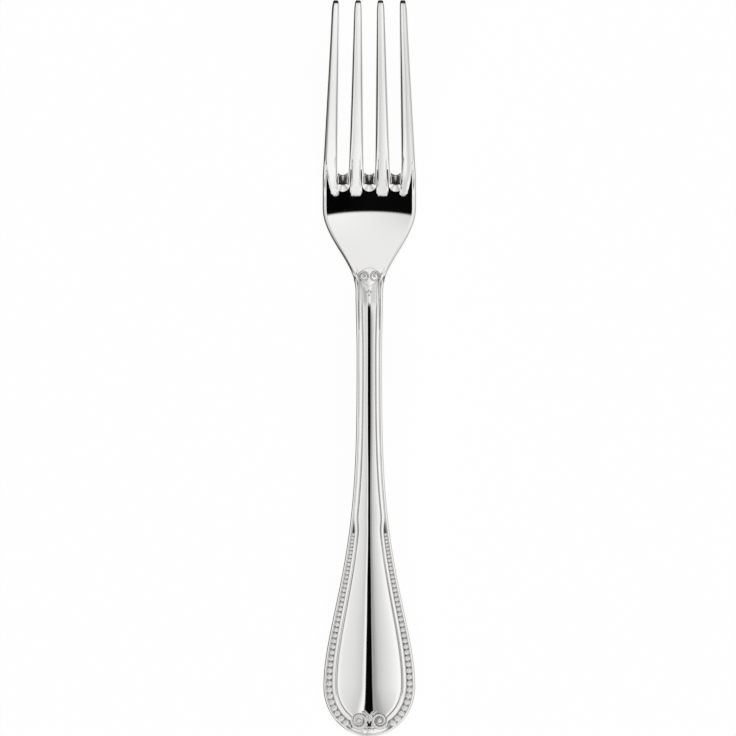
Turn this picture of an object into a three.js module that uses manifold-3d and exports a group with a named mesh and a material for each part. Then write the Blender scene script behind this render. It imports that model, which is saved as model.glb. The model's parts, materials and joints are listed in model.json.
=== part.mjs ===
// Dessert fork: a struck, pierced and bent nickel-silver blank under one coat of silver.
// Millimetres. X runs across the fork, +Y towards the tine points, +Z up.
// The fork lies face up on z = 0, on the heel of its head and the end of its handle.
// Places along it are distances d from the tine points unless a name says otherwise.

import * as THREE from "three";
import { mergeVertices } from "three/addons/utils/BufferGeometryUtils.js";
import Module from "manifold-3d";

// Whole fork
const forkLength = 172;
const silverThickness = 0.033;
const restFlatDepth = 0.04;
const nickelSilver = 0xb9b2a4;
const nickelRoughness = 0.35;
const brightSilver = 0xf1efea;
const silverRoughness = 0.08;

// Head and tines
const tineCount = 4;
const headWidth = 22.2;
const pointSpan = 17.5;
const tineRootWidth = 3.6;
const tinePointWidth = 1.9;
const pointLength = 2.4;
const pointFlat = 0.6;
const slotLength = 41;
const slotLean = 2.9;
const slotBevel = 0.42;
const backBevel = 0.3;
const headBevel = 1.05;
const bevelDrop = 0.32;
const dishRise = 0.45;
const fingerRoot = 1.6;
const fingerEnd = slotLength + slotLean + fingerRoot;
const heelBehindFingers = 2.4;
const heel = fingerEnd + heelBehindFingers;
const shoulderBehindHeel = 0.4;
const shoulderStart = heel + shoulderBehindHeel;
const shoulderLength = 19.2;

// Neck and stem
const neckWidth = 6.8;
const stemWidth = 6.3;
const stemStart = shoulderStart + shoulderLength;
const stemRun = 14.5;
const borderTopLead = 1.9;
const borderTop = stemStart - borderTopLead;
const borderTopRun = 3.8;
const crestRun = 8;

// Spatulate end of the handle; its elliptic end and its ridge are measured from the end
const spatulaWidth = 21.8;
const spatulaEnd = 12;
const flareLength = 86;
const flarePower = 2.15;
const ridgeEnd = 6.4;

// Struck relief of the handle
const rimWidth = 1.05;
const threadWidth = 0.8;
const reliefDepth = 0.2;
const threadRise = 0.06;
const rimFall = 0.28;
const rimRound = 0.16;
const ridgeSlope = 12;
const ridgeSoftness = 0.05;
const ridgeSpread = 0.024;
const ridgeRunOut = 0.66;

// Beads of the border, growing towards the end of the handle
const beadTopFromEnd = 48;
const beadTop = forkLength - beadTopFromEnd;
const beadSmall = 0.8;
const beadLarge = 1.8;
const beadStopAngle = 58;
const beadRise = 0.28;
const beadSink = 0.08;
const beadGap = 0.06;
const channelOpening = 4;

// Scrolls at the neck and at the end of the handle: rolled edge, dished floor and a raised eye
const neckScrollLead = 1.45;
const neckScroll = { across: 1.34, d: borderTop - neckScrollLead, radius: 1.15, wire: 0.2, eye: 0.4 };
const endScrollFromEnd = 4.07;
const endScroll = { across: 2.4, d: forkLength - endScrollFromEnd, radius: 2.05, wire: 0.34, eye: 0.7 };
const scrollRoot = 0.7;
const scrollSides = 8;
const scrollTurn = 11;
const rollWidth = 2.2;
const eyeTopWidth = 0.4;
const eyeTopRise = 0.6;

// Side view: slope of the face in degrees, rising towards the points, and thickness below the face
const handleRun = forkLength - stemStart;
const bendKnots = [
  [0, 22],
  [slotLength * 0.49, 17],
  [slotLength * 0.88, 12.8],
  [fingerEnd, 9.8],
  [heel, 0],
  [shoulderStart + shoulderLength * 0.3, -15],
  [shoulderStart + shoulderLength * 0.61, -20],
  [shoulderStart + shoulderLength * 0.82, -18.5],
  [stemStart + handleRun * 0.024, -4],
  [stemStart + handleRun * 0.091, -0.7],
  [stemStart + handleRun * 0.158, 1.1],
  [stemStart + handleRun * 0.36, 3.2],
  [stemStart + handleRun * 0.6, 4.6],
  [stemStart + handleRun * 0.79, 4],
  [forkLength, 1.6],
];
const thicknessKnots = [
  [0, 0.7],
  [pointLength * 0.5, 1.05],
  [slotLength * 0.1, 1.35],
  [slotLength * 0.29, 1.7],
  [slotLength * 0.61, 2],
  [slotLength * 1.02, 2.4],
  [heel, 2.4],
  [shoulderStart + shoulderLength * 0.4, 2.7],
  [shoulderStart + shoulderLength * 0.82, 3.5],
  [stemStart + handleRun * 0.07, 3.9],
  [stemStart + handleRun * 0.215, 3.9],
  [stemStart + handleRun * 0.52, 3.1],
  [stemStart + handleRun * 0.76, 2.5],
  [stemStart + handleRun * 0.9, 2.2],
  [forkLength, 1.8],
];

// Shares that shape the edge and the back, and set the columns of a cross-section
const edgeLevel = 0.45;
const backShoulderLevel = 0.88;
const backShoulderInset = 0.32;
const backCrown = 0.45;
const headBackCrown = 0.5;
const panelSlope = 0.45;
const panelCrown = 0.86;
const faceInner = 0.28;
const faceMiddle = 0.56;
const faceOuter = 0.8;
const bevelFoot = 0.3;

// Fineness of the curves: shares of each stretch at which a cross-section is taken
const pointShares = [0, 0.1, 0.3, 0.6, 1];
const tineShares = [0.2, 0.39, 0.59, 0.78, 0.93];
const heelShares = [-0.86, -0.43, -0.15, 0.15];
const shoulderShares = [0.09, 0.22, 0.35, 0.48, 0.61, 0.71];
const borderTopShares = [0.15, 0.54, 1];
const stemShares = [0.045, 0.12, 0.21, 0.34, 0.6, 0.82];
const beadShares = [0, 0.11, 0.22, 0.36, 0.5, 0.64, 0.78, 0.89];
const endAngles = [0, 15, 30, 45, 60, 72, 82, 90];
const slotEndAngles = [4, 24, 46, 68, 90];
const slotShares = [0.85, 0.65, 0.45, 0.25];
const slotMouthShares = [1, 0.55, 0.2, -0.5];
const stationGap = 0.2;
const profileStep = 0.25;

// Cutters overshoot the metal by this much; slivers under the second size are cleared away
const cutterReach = 1.5;
const sliverSize = 0.02;
const flatTolerance = 1e-5;

const radians = THREE.MathUtils.degToRad;
const mix = THREE.MathUtils.lerp;
const smooth = (t) => THREE.MathUtils.smoothstep(t, 0, 1);
const clamp01 = (t) => THREE.MathUtils.clamp(t, 0, 1);

// A smooth function through knots [d, value]
function curveThrough(knots) {
  const slope = knots.map((knot, i) => {
    const before = knots[Math.max(i - 1, 0)];
    const after = knots[Math.min(i + 1, knots.length - 1)];
    return (after[1] - before[1]) / (after[0] - before[0]);
  });
  return (d) => {
    let i = 0;
    while (i < knots.length - 2 && d > knots[i + 1][0]) i += 1;
    const [start, low] = knots[i];
    const [stop, high] = knots[i + 1];
    const span = stop - start;
    const t = clamp01((d - start) / span);
    const bend = (low - high) * 2 + (slope[i] + slope[i + 1]) * span;
    const lean = (high - low) * 3 - (slope[i] * 2 + slope[i + 1]) * span;
    return ((bend * t + lean) * t + slope[i] * span) * t + low;
  };
}

// Face of the fork in side view
const bendAt = curveThrough(bendKnots);
const thicknessAt = curveThrough(thicknessKnots);
const profileHeights = [0];
for (let d = profileStep; d <= forkLength + profileStep; d += profileStep) {
  const fall = Math.tan(radians(bendAt(d - profileStep / 2))) * profileStep;
  profileHeights.push(profileHeights.at(-1) - fall);
}

function heightAt(d) {
  const steps = d / profileStep;
  const i = THREE.MathUtils.clamp(Math.floor(steps), 0, profileHeights.length - 2);
  return mix(profileHeights[i], profileHeights[i + 1], steps - i);
}

// From a place in plan and a height above the face to a point of the bent fork as it lies on the table
const bed = new THREE.Matrix4();

function bent(across, d, above) {
  const angle = radians(bendAt(d));
  const along = -d - above * Math.sin(angle);
  const up = heightAt(d) + above * Math.cos(angle);
  return new THREE.Vector3(across, along, up).applyMatrix4(bed);
}

// Tines and slots in plan
const pointPitch = (pointSpan - tinePointWidth) / (tineCount - 1);
const rootPitch = (headWidth - tineRootWidth) / (tineCount - 1);
const pitchAt = (d) => mix(pointPitch, rootPitch, clamp01(d / slotLength));
const tineWidthAt = (d) => mix(tinePointWidth, tineRootWidth, clamp01(d / slotLength));

function tineHalfAt(d) {
  const back = 1 - clamp01(d / pointLength);
  const round = Math.sqrt(1 - back * back);
  return mix(pointFlat, tineWidthAt(d), round) / 2;
}

// Half width of the outline
function halfWidthAt(d) {
  if (d <= shoulderStart) return (pitchAt(d) * (tineCount - 1)) / 2 + tineHalfAt(d);
  const shoulder = smooth((d - shoulderStart) / shoulderLength);
  const neck = smooth((d - stemStart) / stemRun);
  const slim = mix(mix(headWidth, neckWidth, shoulder), stemWidth, neck);
  const flare = 1 - clamp01((forkLength - d - spatulaEnd) / flareLength);
  return (slim + (spatulaWidth - stemWidth) * smooth(flare ** flarePower)) / 2;
}

// Runs along the border are counted from its first bead towards the end of the handle
const straightRun = beadTopFromEnd - spatulaEnd;
const endRunPerRadian = (spatulaWidth / 2 + spatulaEnd) / 2;
const beadRun = straightRun + radians(beadStopAngle) * endRunPerRadian;
const beadSizeAt = (run) => mix(beadSmall, beadLarge, clamp01(run / beadRun));
const channelAt = (run) => beadSizeAt(run) * smooth(1 + run / channelOpening);
const borderAt = (run) => rimWidth + channelAt(run) + threadWidth;

// A station says where a cross-section leaves the outline, which way it runs in, and where its middle is
function straightStation(d) {
  return { across: halfWidthAt(d), d, inAcross: -1, inAlong: 0, middle: d, run: d - beadTop };
}

function endStation(degrees) {
  const angle = radians(degrees);
  const half = spatulaWidth / 2;
  const normal = new THREE.Vector2(Math.cos(angle) / half, Math.sin(angle) / spatulaEnd).normalize();
  return {
    across: degrees < 90 ? half * Math.cos(angle) : 0,
    d: forkLength - spatulaEnd * (1 - Math.sin(angle)),
    inAcross: degrees < 90 ? -normal.x : 0,
    inAlong: -normal.y,
    middle: forkLength - mix(spatulaEnd, ridgeEnd, Math.sin(angle)),
    run: straightRun + angle * endRunPerRadian,
    round: true,
  };
}

const inset = (station, by) => [
  station.across + station.inAcross * by,
  station.d + station.inAlong * by,
];
const towards = (from, to, share) => [mix(from[0], to[0], share), mix(from[1], to[1], share)];

// Fall of the handle's panel from its soft middle ridge
function ridgeFall(across, panelHalf) {
  const rise = Math.tan(radians(ridgeSlope));
  const soft = ridgeSoftness + ridgeSpread * panelHalf;
  return Math.hypot(rise * across, soft) - soft;
}

// Lift of the round end: the ridged panel is carried on over it and runs out
const widestPanel = spatulaWidth / 2 - borderAt(straightRun);
const widestCrest = ridgeFall(widestPanel, widestPanel);

function liftAt(across, d) {
  const overEnd = (d - forkLength + spatulaEnd) / spatulaEnd;
  if (overEnd < 0) return 0;
  const roof = widestCrest - ridgeFall(Math.min(Math.abs(across), widestPanel), widestPanel);
  return roof * mix(1, ridgeRunOut, clamp01(overEnd));
}

// Right half of a handle section from the ridge round the edge to the middle of the back
function handleHalf(station) {
  const thick = thicknessAt(station.d);
  const channel = channelAt(station.run);
  const border = borderAt(station.run);
  const panelEdge = inset(station, border);
  const middle = [0, station.middle];
  const panelHalf = Math.hypot(panelEdge[0], panelEdge[1] - station.middle);
  const crestShare = smooth((station.d - borderTop + borderTopRun) / crestRun);
  const panelPoint = (share) => {
    const place = towards(panelEdge, middle, share);
    const roof = ridgeFall(panelHalf, panelHalf) - ridgeFall(panelHalf * (1 - share), panelHalf);
    return [...place, station.round ? liftAt(...place) : roof * crestShare];
  };
  const borderPoint = (by, above) => {
    const place = inset(station, by);
    const lift = station.round ? liftAt(...place) * clamp01(1 + above / (thick * backShoulderLevel)) : 0;
    return [...place, above + lift];
  };
  const shoulder = inset(station, thick * backShoulderInset);
  const backPoint = (share, level) => {
    const place = towards(shoulder, middle, share);
    return [...place, -level * thicknessAt(place[1])];
  };
  return [
    panelPoint(1),
    panelPoint(panelCrown),
    panelPoint(panelSlope),
    borderPoint(border, -reliefDepth),
    borderPoint(border - threadWidth / 2, threadRise),
    borderPoint(rimWidth + channel, -reliefDepth),
    borderPoint(rimWidth, -reliefDepth),
    borderPoint(rimWidth / 2, threadRise),
    borderPoint(rimRound, -rimFall),
    borderPoint(0, -thick * edgeLevel),
    backPoint(0, backShoulderLevel),
    backPoint(backCrown, 1),
    backPoint(1, 1),
  ];
}

// Right half of a head section in the same order; its columns without relief fall together
function headHalf(station) {
  const { across, d } = station;
  const thick = thicknessAt(d);
  const bevel = (headBevel * tineWidthAt(d)) / tineRootWidth;
  const flat = across - bevel;
  const dish = (x) => dishRise * (x / (headWidth / 2)) ** 2;
  const face = (share) => [flat * share, d, dish(flat * share)];
  const belowDish = (x, drop) => [x, d, dish(x) - drop];
  return [
    face(0),
    face(faceInner),
    face(faceMiddle),
    face(faceOuter),
    face(faceOuter),
    face(faceOuter),
    face(faceOuter),
    face(1),
    belowDish(across - bevel * bevelFoot, bevelDrop * (bevel / headBevel)),
    belowDish(across, thick * edgeLevel),
    belowDish(across - thick * backShoulderInset, thick * backShoulderLevel),
    belowDish(across * headBackCrown, thick),
    belowDish(0, thick),
  ];
}

// Closed loop of bent points for one station
function section(station) {
  const handleShare = smooth((station.d - borderTop + borderTopRun) / borderTopRun);
  const handle = handleHalf(station);
  const head = headHalf(station);
  const blend = (point, i) => point.map((value, axis) => mix(head[i][axis], value, handleShare));
  const half = handle.map(blend);
  const right = half.map(([across, d, above]) => bent(across, d, above));
  const left = half.slice(1, -1).map(([across, d, above]) => bent(-across, d, above));
  return [...right, ...left.reverse()];
}

// Skin over loops of equal length; open ends are closed by a fan about their middle
function loft(loops) {
  const count = loops[0].length;
  const points = loops.flat();
  const faces = [];
  for (let row = 0; row + 1 < loops.length; row += 1) {
    for (let i = 0; i < count; i += 1) {
      const here = row * count + i;
      const next = row * count + ((i + 1) % count);
      faces.push(here, next + count, next, here, here + count, next + count);
    }
  }
  for (const [row, flip] of [[0, false], [loops.length - 1, true]]) {
    const middle = new THREE.Vector3();
    loops[row].forEach((point) => middle.addScaledVector(point, 1 / count));
    const hub = points.push(middle) - 1;
    for (let i = 0; i < count; i += 1) {
      const here = row * count + i;
      const next = row * count + ((i + 1) % count);
      faces.push(...(flip ? [hub, next, here] : [hub, here, next]));
    }
  }
  const geometry = new THREE.BufferGeometry().setFromPoints(points);
  geometry.setIndex(faces);
  return geometry;
}

const wasm = await Module();
wasm.setup();

// Solid of a closed geometry, with its doubled points joined and its collapsed faces dropped
function solidOf(geometry) {
  geometry.deleteAttribute("normal");
  geometry.deleteAttribute("uv");
  const joined = mergeVertices(geometry);
  const corners = [];
  for (let i = 0; i < joined.index.count; i += 3) {
    const face = [0, 1, 2].map((k) => joined.index.getX(i + k));
    if (new Set(face).size === 3) corners.push(...face);
  }
  return new wasm.Manifold(new wasm.Mesh({
    numProp: 3,
    vertProperties: joined.attributes.position.array,
    triVerts: Uint32Array.from(corners),
  }));
}

// Blank: one loft from the points to the end of the handle
const stationPlaces = [
  ...pointShares.map((share) => pointLength * share),
  ...tineShares.map((share) => slotLength * share),
  ...heelShares.map((share) => heel + (heel - slotLength) * share),
  ...shoulderShares.map((share) => shoulderStart + shoulderLength * share),
  ...borderTopShares.map((share) => borderTop - borderTopRun * (1 - share)),
  ...stemShares.map((share) => mix(borderTop, beadTop - channelOpening, share)),
  beadTop - channelOpening,
  ...beadShares.map((share) => beadTop + straightRun * share),
].sort((a, b) => a - b);
const straightStations = stationPlaces
  .filter((d, i) => i === 0 || d - stationPlaces[i - 1] > stationGap)
  .map(straightStation);
const stations = [...straightStations, ...endAngles.map(endStation)];

// Lay the fork down: level its two lowest places, centre its length and sink the rest flats
function layDown() {
  const points = stations.flatMap(section);
  const lowest = (list) => list.reduce((low, point) => (point.z < low.z ? point : low));
  const headRest = lowest(points.filter((point) => point.y > -forkLength / 2));
  const handleRest = lowest(points.filter((point) => point.y <= -forkLength / 2));
  const tilt = Math.atan2(headRest.z - handleRest.z, headRest.y - handleRest.y);
  bed.makeRotationX(-tilt);
  const box = new THREE.Box3().setFromPoints(stations.flatMap(section));
  const middle = (box.min.y + box.max.y) / 2;
  bed.premultiply(new THREE.Matrix4().makeTranslation(0, -middle, -box.min.z - restFlatDepth));
}

layDown();
let blank = solidOf(loft(stations.map(section)));

// Slots: each cutter is bevelled on the face and on the back, and its round end leans out on the face
function slotCutter(index) {
  const side = index - (tineCount - 2) / 2;
  const dish = dishRise * ((side * rootPitch) / (headWidth / 2)) ** 2;
  const root = thicknessAt(slotLength);
  const levels = [
    { extra: slotBevel + cutterReach, above: () => cutterReach },
    { extra: 0, above: () => -slotBevel },
    { extra: 0, above: (d) => backBevel - thicknessAt(d) },
    { extra: backBevel + cutterReach, above: (d) => -cutterReach - thicknessAt(d) },
  ];
  const halfAt = (d) => pitchAt(d) / 2 - tineHalfAt(d);
  const ring = (edge) => {
    const right = levels.map((level) => edge(level, 1));
    const left = levels.map((level) => edge(level, -1));
    return [...right, ...left.reverse()];
  };
  const point = (level, hand, d, half) => {
    const above = level.above(d) + dish;
    return bent(side * pitchAt(d) + hand * half, d, above);
  };
  const endCentre = (level) => {
    const lean = slotLean * (1 + level.above(slotLength) / root);
    return slotLength + lean - halfAt(slotLength);
  };
  const roundEnd = slotEndAngles.map((degrees) => ring((level, hand) => {
    const radius = halfAt(slotLength) + level.extra;
    const d = endCentre(level) + radius * Math.cos(radians(degrees));
    return point(level, hand, d, radius * Math.sin(radians(degrees)));
  }));
  const sideRing = (placeOf) => ring((level, hand) => {
    const d = placeOf(level);
    const extra = (level.extra * tineWidthAt(d)) / tineRootWidth;
    return point(level, hand, d, halfAt(d) + extra);
  });
  const sides = [
    ...slotShares.map((share) => sideRing((level) => endCentre(level) * share)),
    ...slotMouthShares.map((share) => sideRing(() => pointLength * share)),
  ];
  return solidOf(loft([...roundEnd, ...sides].reverse()));
}

for (let index = 0; index < tineCount - 1; index += 1) {
  blank = blank.subtract(slotCutter(index));
}

// Beads of the border, set along both sides by their own sizes
function bead(run, hand) {
  const station = run < straightRun
    ? straightStation(beadTop + run)
    : endStation(THREE.MathUtils.radToDeg((run - straightRun) / endRunPerRadian));
  const [across, d] = inset(station, rimWidth + channelAt(run) / 2);
  const size = beadSizeAt(run);
  const floor = liftAt(across, d) - reliefDepth - beadSink;
  const centre = bent(hand * across, d, floor);
  const up = bent(hand * across, d, floor + 1).sub(centre);
  const sphere = new THREE.OctahedronGeometry(1, 0);
  sphere.scale((size - beadGap) / 2, size * beadRise + beadSink, (size - beadGap) / 2);
  sphere.applyQuaternion(new THREE.Quaternion().setFromUnitVectors(new THREE.Vector3(0, 1, 0), up));
  sphere.translate(centre.x, centre.y, centre.z);
  return solidOf(sphere);
}

for (let run = beadSmall / 2; run < beadRun; run += beadSizeAt(run)) {
  blank = blank.add(bead(run, 1)).add(bead(run, -1));
}

// Scrolls: a raised round with a rolled edge and an eye, rooted in the handle
function scroll({ across, d, radius, wire, eye }, hand) {
  const rings = [
    [eye * eyeTopWidth, eye * eyeTopRise],
    [eye, 0],
    [radius - wire * rollWidth, 0],
    [radius - wire, wire],
    [radius, 0],
    [radius, -scrollRoot],
  ];
  const ring = ([out, above]) => Array.from({ length: scrollSides }, (_, i) => {
    const angle = radians(scrollTurn) + (i / scrollSides) * Math.PI * 2;
    const place = [hand * across + out * Math.cos(angle), d - out * Math.sin(angle)];
    return bent(...place, above + liftAt(...place));
  });
  return solidOf(loft(rings.map(ring)));
}

for (const hand of [1, -1]) {
  blank = blank.add(scroll(endScroll, hand)).add(scroll(neckScroll, hand));
}

// Rest flats on the table
const below = new THREE.BoxGeometry(headWidth * 2, forkLength * 2, forkLength);
below.translate(0, 0, -forkLength / 2);
blank = blank.subtract(solidOf(below));

// Silver coat: the skin of the struck shape, worn through to the blank on the rest flats only
function coat(solid) {
  const { vertProperties, triVerts } = solid.getMesh();
  const skin = new THREE.BufferGeometry();
  skin.setAttribute("position", new THREE.BufferAttribute(Float32Array.from(vertProperties), 3));
  skin.setIndex(Array.from(triVerts));
  skin.computeVertexNormals();
  const outer = skin.attributes.position;
  const onTable = (corner) => outer.getZ(corner) < flatTolerance;
  const isBare = (face) => face.every(onTable);
  const faces = [];
  for (let i = 0; i < triVerts.length; i += 3) faces.push(Array.from(triVerts.slice(i, i + 3)));
  const bare = faces.filter(isBare);
  const worn = new Set(bare.flat());

  const points = [];
  for (let i = 0; i < outer.count; i += 1) {
    points.push(new THREE.Vector3().fromBufferAttribute(outer, i));
  }
  const inward = points.map((point, i) => {
    const normal = new THREE.Vector3().fromBufferAttribute(skin.attributes.normal, i);
    return worn.has(i) ? point : point.clone().addScaledVector(normal, -silverThickness);
  });
  const covered = faces.filter((face) => !isBare(face));
  const inside = covered.map((face) => face.map((corner) => corner + points.length));
  const silver = [...covered, ...inside.map(([a, b, c]) => [a, c, b])];
  return {
    blankGeometry: closedGeometry(inward, faces),
    silverGeometry: closedGeometry([...points, ...inward], silver),
  };
}

function closedGeometry(points, faces) {
  const geometry = new THREE.BufferGeometry().setFromPoints(points);
  geometry.setIndex(faces.flat());
  return mergeVertices(geometry);
}

const { blankGeometry, silverGeometry } = coat(blank.simplify(sliverSize));

function piece(name, geometry, color, roughness) {
  geometry.computeVertexNormals();
  const material = new THREE.MeshStandardMaterial({ color, roughness, metalness: 1 });
  const mesh = new THREE.Mesh(geometry, material);
  mesh.name = name;
  return mesh;
}

const fork = new THREE.Group();
fork.name = "dessert_fork";
fork.add(piece("nickel_silver_blank", blankGeometry, nickelSilver, nickelRoughness));
fork.add(piece("silver_plate", silverGeometry, brightSilver, silverRoughness));

export default fork;
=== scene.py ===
# %% [markdown]
# # A silver-plated dessert fork
# A real fork starts as a flat blank. Dies strike the border, the beads and the scrolls into its face,
# the slots are pierced, and a press bends the strip to its side curve. This lesson goes the same way:
# every piece is made flat, then one Geometry Nodes tree bends them all along the same side curve.
# The imported solids are loaded first. They give the true size.

# %% Load the frame
import json
import math

import bmesh
import bpy
import numpy as np
from mathutils import Matrix, Vector
from mathutils.bvhtree import BVHTree

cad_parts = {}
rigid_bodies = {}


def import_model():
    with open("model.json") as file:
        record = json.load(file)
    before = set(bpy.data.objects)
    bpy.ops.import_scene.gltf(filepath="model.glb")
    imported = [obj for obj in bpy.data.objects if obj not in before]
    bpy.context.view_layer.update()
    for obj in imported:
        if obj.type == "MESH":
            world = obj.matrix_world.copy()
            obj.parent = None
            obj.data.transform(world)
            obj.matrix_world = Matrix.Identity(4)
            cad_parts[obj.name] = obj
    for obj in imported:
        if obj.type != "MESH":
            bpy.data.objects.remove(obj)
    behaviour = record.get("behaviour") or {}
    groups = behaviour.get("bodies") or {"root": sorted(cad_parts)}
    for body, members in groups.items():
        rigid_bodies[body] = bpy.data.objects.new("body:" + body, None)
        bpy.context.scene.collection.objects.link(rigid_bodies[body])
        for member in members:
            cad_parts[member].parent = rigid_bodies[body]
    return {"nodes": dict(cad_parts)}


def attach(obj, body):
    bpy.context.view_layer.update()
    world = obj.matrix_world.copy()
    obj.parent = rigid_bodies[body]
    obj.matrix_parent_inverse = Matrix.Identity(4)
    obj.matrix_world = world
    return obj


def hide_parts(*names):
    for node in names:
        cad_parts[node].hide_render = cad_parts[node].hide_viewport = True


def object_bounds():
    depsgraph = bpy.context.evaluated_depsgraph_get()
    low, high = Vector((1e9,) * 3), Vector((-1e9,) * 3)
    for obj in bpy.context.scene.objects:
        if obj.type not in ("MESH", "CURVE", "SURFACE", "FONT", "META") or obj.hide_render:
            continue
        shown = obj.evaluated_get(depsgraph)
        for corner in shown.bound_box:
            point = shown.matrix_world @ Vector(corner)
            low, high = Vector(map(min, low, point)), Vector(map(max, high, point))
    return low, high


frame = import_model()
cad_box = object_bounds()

MM = 0.001
cad_size = [(high - low) / MM for low, high in zip(*cad_box)]
print("solids:", sorted(frame["nodes"]), "size in mm:", [round(size, 2) for size in cad_size])

# %% [markdown]
# ## Sizes
# All sizes are millimetres. d is the distance from the tine points, seen from above, and h is the height
# above the face. The widths were read from the view from above; the side curve and the thickness are
# what such forks have. A few knots and a smooth curve through them describe the side view.

# %% Sizes of the head and the tines
fork_length = 172.0
tine_count = 4
head_width = 22.2
point_span = 17.5
tine_root_width = 3.6
tine_point_width = 1.9
point_length = 2.4
point_flat = 0.6
slot_length = 41.0
slot_lean = 2.9
slot_bevel = 0.85
slot_bevel_share = 0.62
slot_bevel_root = 0.45
slot_pinch = 0.42
slot_bevel_run = 10.0
slot_bevel_drop = 0.1
slot_pinch_drop = 0.2
slot_chamfer = 0.5
slot_chamfer_drop = 0.34
back_bevel = 0.3
back_bevel_round = 0.3
head_bevel = 1.05
head_bevel_share = 0.62
bevel_foot = 0.42
bevel_drop = 0.33
dish_rise = 0.45
dish_lead = 1.4
dish_run_out = 11.0
finger_root = 1.6
heel_behind_fingers = 2.4
shoulder_behind_heel = 0.4
shoulder_length = 19.2
finger_end = slot_length + slot_lean + finger_root
heel = finger_end + heel_behind_fingers
shoulder_start = heel + shoulder_behind_heel
print("fingers end at", round(finger_end, 2), "and the heel lies at", round(heel, 2))

# %% Sizes of the neck, the stem and the handle
neck_width = 6.8
stem_width = 6.3
stem_start = shoulder_start + shoulder_length
stem_run = 14.5
border_top_lead = 1.9
border_top = stem_start - border_top_lead
border_top_run = 3.8
crest_run = 8.0
spatula_width = 21.8
spatula_end = 12.0
flare_length = 86.0
flare_power = 2.15
ridge_end = 6.4
rim_width = 0.9
thread_narrow = 0.85
thread_wide = 1.35
relief_depth = 0.2
thread_rise = 0.1
ridge_slope = 0.14
panel_round = 0.065
ridge_run_out = 0.66
bead_top_from_end = 48
bead_top = fork_length - bead_top_from_end
bead_small = 0.8
bead_large = 1.8
bead_stop_angle = math.radians(58)
bead_cover = 0.76
channel_opening = 4.0
channel_closing = 1.6
edge_level = 0.45
back_shoulder_level = 0.88
back_shoulder_inset = 0.32
back_tuck_share = 0.6
back_crown_power = 2.4
rest_flat_depth = 0.04
print("border starts at", round(border_top, 2), "and the beads at", bead_top)


# %% Side curve and thickness
def curve_through(knots):
    """A smooth function of d through knots (d, value)."""
    place, value = np.array(knots, dtype=float).T
    low = np.maximum(np.arange(len(place)) - 1, 0)
    high = np.minimum(np.arange(len(place)) + 1, len(place) - 1)
    slope = (value[high] - value[low]) / (place[high] - place[low])

    def value_at(d):
        i = np.clip(np.searchsorted(place, d) - 1, 0, len(place) - 2)
        span = place[i + 1] - place[i]
        t = np.clip((d - place[i]) / span, 0, 1)
        bend = (value[i] - value[i + 1]) * 2 + (slope[i] + slope[i + 1]) * span
        lean = (value[i + 1] - value[i]) * 3 - (slope[i] * 2 + slope[i + 1]) * span
        return ((bend * t + lean) * t + slope[i] * span) * t + value[i]

    return value_at


def on_shoulder(share):
    return shoulder_start + shoulder_length * share


def on_handle(share):
    return stem_start + (fork_length - stem_start) * share


face_slope = curve_through([
    (0, 22), (slot_length * 0.49, 17), (slot_length * 0.88, 12.8), (finger_end - 2.5, 10.9),
    (finger_end - 0.1, 10), (finger_end + 0.5, 6.2), (heel, 0), (on_shoulder(0.3), -15),
    (on_shoulder(0.61), -20), (on_shoulder(0.82), -18.5), (on_handle(0.024), -4), (on_handle(0.091), -0.7),
    (on_handle(0.158), 1.1), (on_handle(0.36), 3.2), (on_handle(0.6), 4.6), (on_handle(0.79), 4.0),
    (fork_length, 1.6),
])
thickness = curve_through([
    (0, 0.7), (point_length * 0.5, 1.05), (slot_length * 0.1, 1.35), (slot_length * 0.29, 1.7),
    (slot_length * 0.61, 2), (slot_length * 1.02, 2.4), (heel, 2.4), (on_shoulder(0.4), 2.7),
    (on_shoulder(0.82), 3.5), (on_handle(0.07), 3.9), (on_handle(0.215), 3.9), (on_handle(0.52), 3.1),
    (on_handle(0.76), 2.5), (on_handle(0.9), 2.2), (fork_length, 1.8),
])
ridge_softness = curve_through([
    (on_handle(0), 0.087), (on_handle(0.29), 0.087), (on_handle(0.42), 0.05), (on_handle(0.56), 0.054),
    (on_handle(0.65), 0.075), (on_handle(0.74), 0.09), (on_handle(0.83), 0.12), (on_handle(0.89), 0.14),
    (fork_length, 0.14),
])

curve_step = 0.25
curve_places = np.arange(0, fork_length + curve_step / 2, curve_step)
step_rises = np.tan(np.radians(face_slope(curve_places[1:] - curve_step / 2))) * curve_step
curve_heights = -np.concatenate([[0], np.cumsum(step_rises)])
curve_runs = np.concatenate([[0], np.cumsum(np.hypot(curve_step, step_rises))])
print("flat strip:", round(curve_runs[-1], 2), "mm for a fork of", fork_length, "mm")


# %% Outline seen from above
def mix(low, high, share):
    return low + (high - low) * share


def clamp01(value):
    return np.clip(value, 0, 1)


def smooth(value):
    share = clamp01(value)
    return share * share * (3 - 2 * share)


point_pitch = (point_span - tine_point_width) / (tine_count - 1)
root_pitch = (head_width - tine_root_width) / (tine_count - 1)
outer_tine = (tine_count - 1) / 2


def pitch_at(d):
    return mix(point_pitch, root_pitch, clamp01(d / slot_length))


def tine_width_at(d):
    return mix(tine_point_width, tine_root_width, clamp01(d / slot_length))


def tine_half_at(d):
    back = 1 - clamp01(d / point_length)
    return mix(point_flat, tine_width_at(d), np.sqrt(1 - back * back)) / 2


def half_width_at(d):
    if d <= shoulder_start:
        return pitch_at(d) * outer_tine + tine_half_at(d)
    shoulder = smooth((d - shoulder_start) / shoulder_length)
    slim = mix(mix(head_width, neck_width, shoulder), stem_width, smooth((d - stem_start) / stem_run))
    flare = 1 - clamp01((fork_length - d - spatula_end) / flare_length)
    return (slim + (spatula_width - stem_width) * smooth(flare ** flare_power)) / 2


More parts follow.
